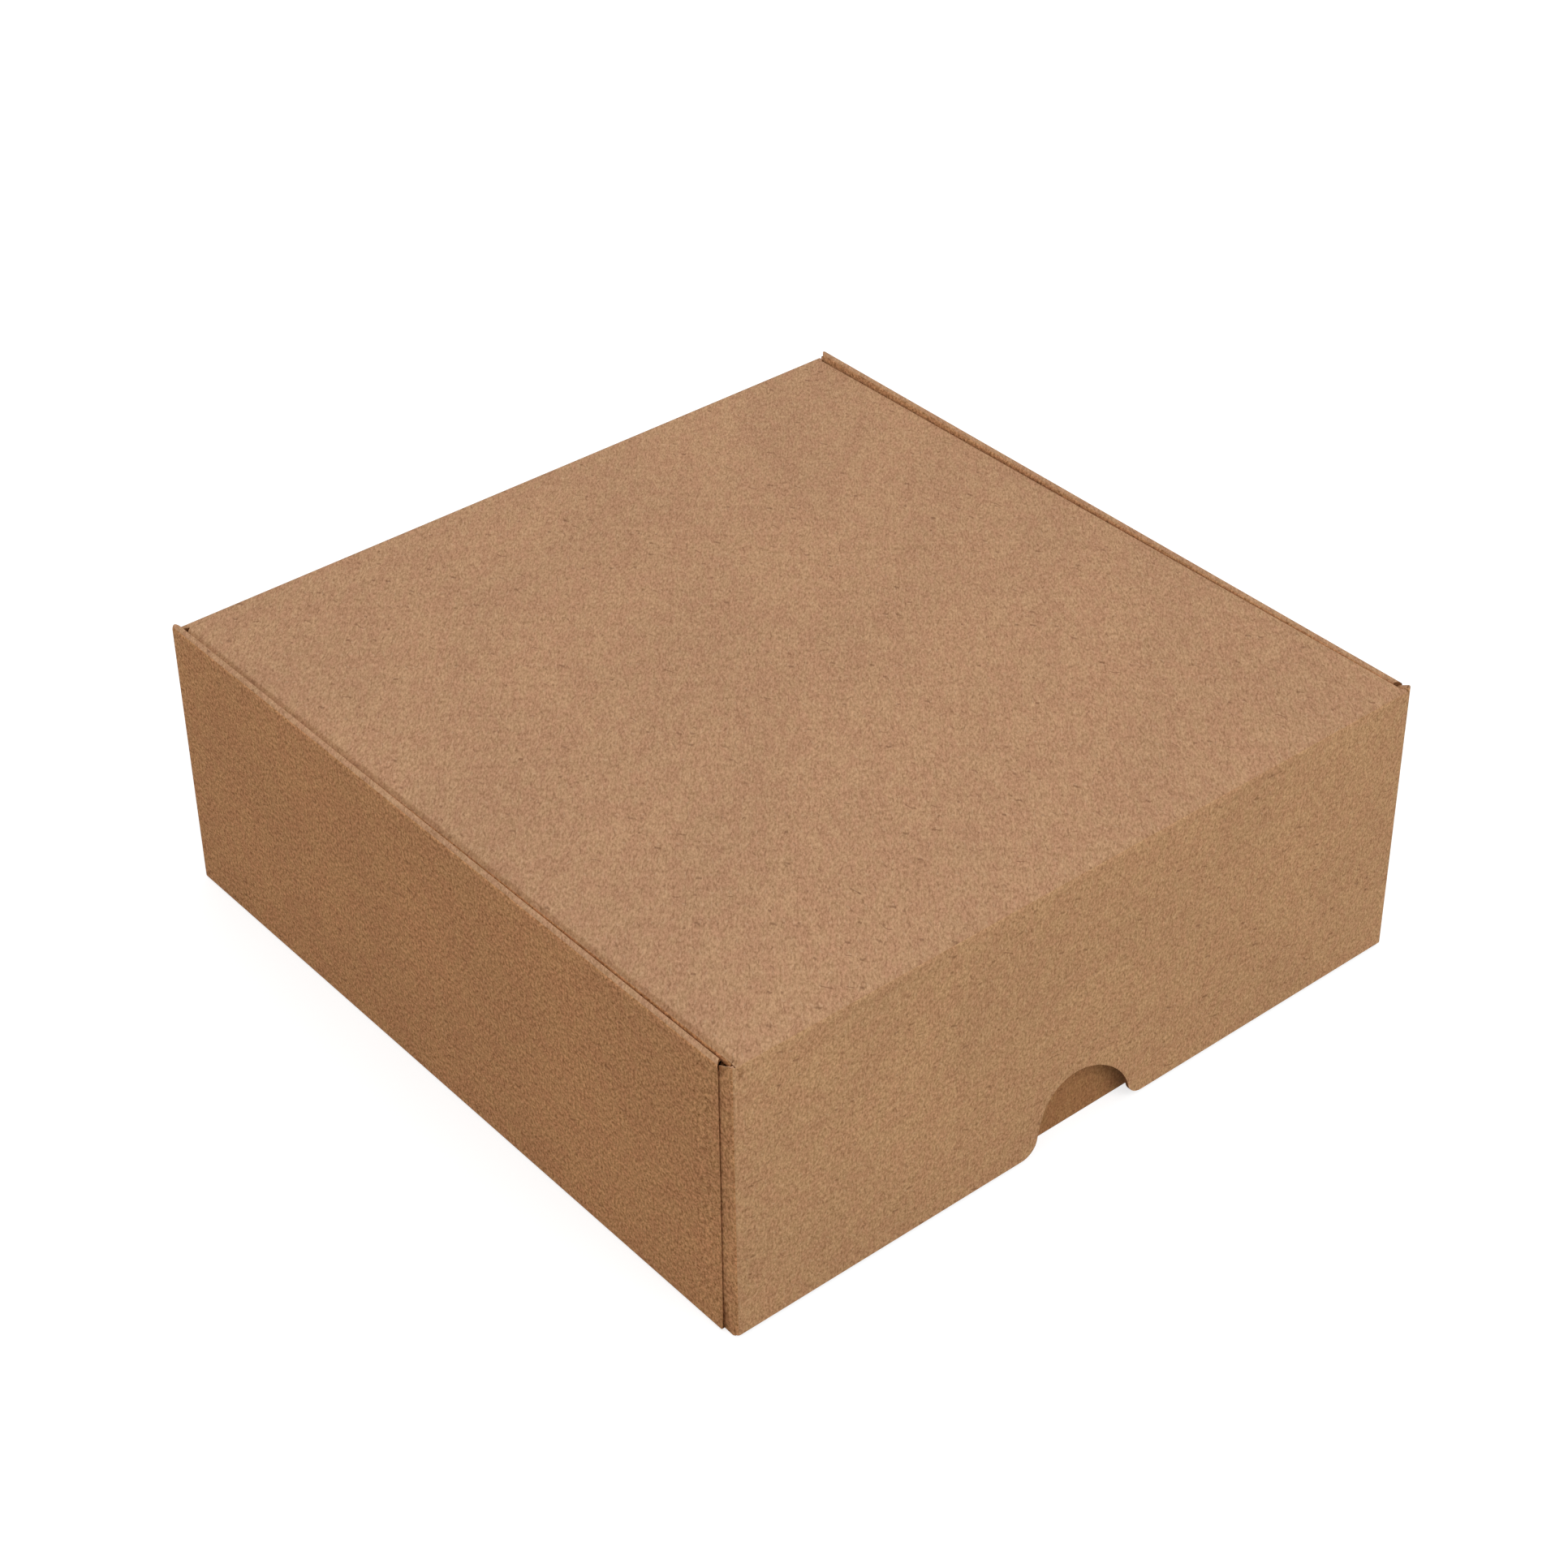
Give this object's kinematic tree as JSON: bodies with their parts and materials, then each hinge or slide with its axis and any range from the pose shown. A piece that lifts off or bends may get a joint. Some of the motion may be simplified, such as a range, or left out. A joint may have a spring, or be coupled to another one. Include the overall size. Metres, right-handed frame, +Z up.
{
  "type": "mailing box",
  "caption": "Closed cardboard mailing box folded from one sheet, with a tuck-in lid, a hinged front flap with a thumb notch, and ears held behind the side panels.",
  "frame": {"origin": "middle of the closed box's outline, on the plane its underside rests on", "axes": "+X to the box's right, +Y from the front flap to the back wall, +Z up"},
  "size_m": [0.2, 0.2056, 0.0751],
  "materials": {
    "body_board": "matte",
    "flap_board": "matte"
  },
  "bodies": {
    "box": {"box_body": "body_board"},
    "front_flap": {"front_flap": "flap_board"}
  },
  "joints": [
    {"name": "front_flap_hinge", "type": "hinge", "parent": "box", "child": "front_flap", "pos_m": [0, -0.10254, 0.07402], "axis": [-1, 0, 0], "range_deg": [0, 90]}
  ]
}
